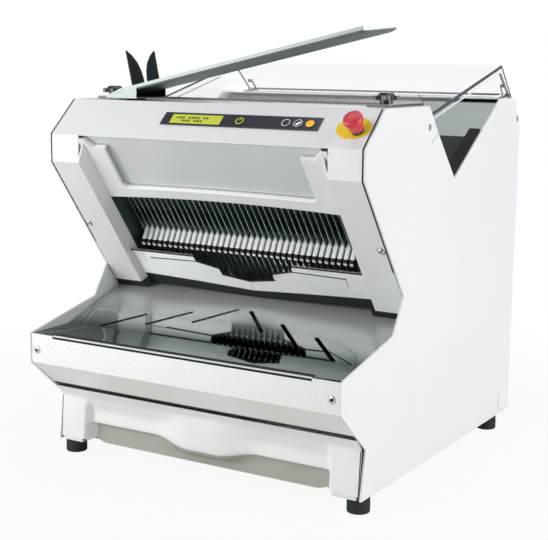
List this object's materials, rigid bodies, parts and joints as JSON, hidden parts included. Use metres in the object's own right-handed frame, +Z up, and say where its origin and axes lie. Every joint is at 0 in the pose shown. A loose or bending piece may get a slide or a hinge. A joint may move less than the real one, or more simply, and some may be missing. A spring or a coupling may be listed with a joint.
{
  "type": "bread slicing machine",
  "caption": "Table-top bread slicer: inclined reciprocating knife frames, finger pusher, clear lid, catch table, bagging trough and crumb drawer.",
  "frame": {"origin": "middle of the footprint's bounding box, on the surface that the feet stand on", "axes": "+Z up, -Y towards the outlet and the drawer, +X to the right of someone facing the outlet"},
  "size_m": [0.59, 0.6794, 0.7249],
  "materials": {
    "white_paint": "smooth white powder coat",
    "ivory_plastic": "smooth pearl white moulding",
    "white_plastic": "satin white moulding",
    "black_plastic": "satin black",
    "dark_plastic": "dark grey",
    "rubber": "matt dark rubber",
    "stainless": "bright stainless sheet",
    "steel": "ground steel",
    "dark_steel": "dark grey paint",
    "cast_aluminium": "machined aluminium",
    "clear_sheet": "clear acrylic sheet with a faint violet tint",
    "red_plastic": "glossy red",
    "yellow_plastic": "yellow plate",
    "display": "yellow-green display window",
    "keypad": "dark key strip"
  },
  "bodies": {
    "housing": {"panel_left": "white_paint", "panel_right": "white_paint", "base_pan": "white_paint", "rear_panel": "white_paint", "fascia": "white_paint", "hood": "ivory_plastic", "side_cap_left": "white_plastic", "side_cap_right": "white_plastic", "frame_guide_left": "white_plastic", "frame_guide_right": "white_plastic", "power_inlet": "black_plastic", "scoop_bracket": "black_plastic", "outlet_band": "black_plastic", "table_strip": "black_plastic", "guide_rail_left": "black_plastic", "guide_rail_right": "black_plastic", "estop_body": "dark_plastic", "electrics_box": "dark_plastic", "foot_front_left": "rubber", "foot_front_right": "rubber", "foot_rear_left": "rubber", "foot_rear_right": "rubber", "infeed_mat": "rubber", "belt": "rubber", "lid_hinge_left": "stainless", "lid_hinge_right": "stainless", "wing_left": "stainless", "wing_right": "stainless", "catch_table": "stainless", "infeed_floor": "stainless", "chassis_left": "steel", "chassis_right": "steel", "motor": "dark_steel", "bearing_left": "cast_aluminium", "bearing_right": "cast_aluminium", "front_lip": "clear_sheet", "estop_plate": "yellow_plastic", "display": "display", "control_strip": "keypad"},
    "lid": {"lid": "clear_sheet"},
    "drawer": {"drawer_front": "white_plastic", "crumb_tray": "stainless"},
    "pusher": {"pusher_fingers": "white_plastic", "pusher_beam": "stainless"},
    "knives_a": {"knife_frame_a": "steel", "rod_a": "cast_aluminium"},
    "knives_b": {"knife_frame_b": "steel", "rod_b": "cast_aluminium"},
    "crank": {"crankshaft": "steel"},
    "rotor": {"motor_pulley": "cast_aluminium"},
    "stop_head": {"estop_button": "red_plastic"},
    "power_key": {"key_power": "keypad"},
    "run_key": {"key_run": "keypad"},
    "pause_key": {"key_pause": "keypad"},
    "stop_key": {"key_stop": "keypad"},
    "left_knob": {"knob_left": "black_plastic"},
    "right_knob": {"knob_right": "black_plastic"},
    "trough": {"scoop": "stainless", "fin_near": "black_plastic", "fin_far": "black_plastic"}
  },
  "joints": [
    {"name": "lid_hinge", "type": "hinge", "parent": "housing", "child": "lid", "pos_m": [0, 0.319, 0.617], "axis": [-1, 0, 0], "range_deg": [0, 100]},
    {"name": "drawer_slide", "type": "slide", "parent": "housing", "child": "drawer", "axis": [0, -1, 0], "range_m": [0, 0.25]},
    {"name": "pusher_slide", "type": "slide", "parent": "housing", "child": "pusher", "axis": [0, 0.8385, 0.545], "range_m": [0, 0.28]},
    {"name": "knives_a_slide", "type": "slide", "parent": "housing", "child": "knives_a", "axis": [0, 0.6018, -0.7987], "range_m": [-0.01, 0.01]},
    {"name": "knives_b_slide", "type": "slide", "parent": "housing", "child": "knives_b", "axis": [0, 0.6018, -0.7987], "range_m": [-0.01, 0.01]},
    {"name": "crank_turn", "type": "hinge", "parent": "housing", "child": "crank", "pos_m": [0, -0.00516, 0.21769], "axis": [1, 0, 0], "continuous": true},
    {"name": "rotor_turn", "type": "hinge", "parent": "housing", "child": "rotor", "pos_m": [0, 0.16, 0.12], "axis": [1, 0, 0], "continuous": true},
    {"name": "stop_press", "type": "slide", "parent": "housing", "child": "stop_head", "axis": [0, 0.6817, -0.7316], "range_m": [0, 0.006]},
    {"name": "power_key_press", "type": "slide", "parent": "housing", "child": "power_key", "axis": [0, 0.6817, -0.7316], "range_m": [0, 0.0008], "stiffness_N_per_m": 300},
    {"name": "run_key_press", "type": "slide", "parent": "housing", "child": "run_key", "axis": [0, 0.6817, -0.7316], "range_m": [0, 0.0008], "stiffness_N_per_m": 300},
    {"name": "pause_key_press", "type": "slide", "parent": "housing", "child": "pause_key", "axis": [0, 0.6817, -0.7316], "range_m": [0, 0.0008], "stiffness_N_per_m": 300},
    {"name": "stop_key_press", "type": "slide", "parent": "housing", "child": "stop_key", "axis": [0, 0.6817, -0.7316], "range_m": [0, 0.0008], "stiffness_N_per_m": 300},
    {"name": "left_knob_turn", "type": "hinge", "parent": "housing", "child": "left_knob", "pos_m": [-0.259, -0.149, 0.617], "axis": [0, 0, 1], "continuous": true},
    {"name": "right_knob_turn", "type": "hinge", "parent": "housing", "child": "right_knob", "pos_m": [0.259, -0.149, 0.617], "axis": [0, 0, 1], "continuous": true},
    {"name": "trough_swivel", "type": "hinge", "parent": "housing", "child": "trough", "pos_m": [-0.1965, -0.171, 0.609], "axis": [0, 0, 1], "range_deg": [-40, 10]}
  ],
  "couplings": [
    {"joint": "knives_b_slide", "follows": "knives_a_slide", "ratio": -1},
    {"joint": "rotor_turn", "follows": "crank_turn", "ratio": 2.8}
  ]
}
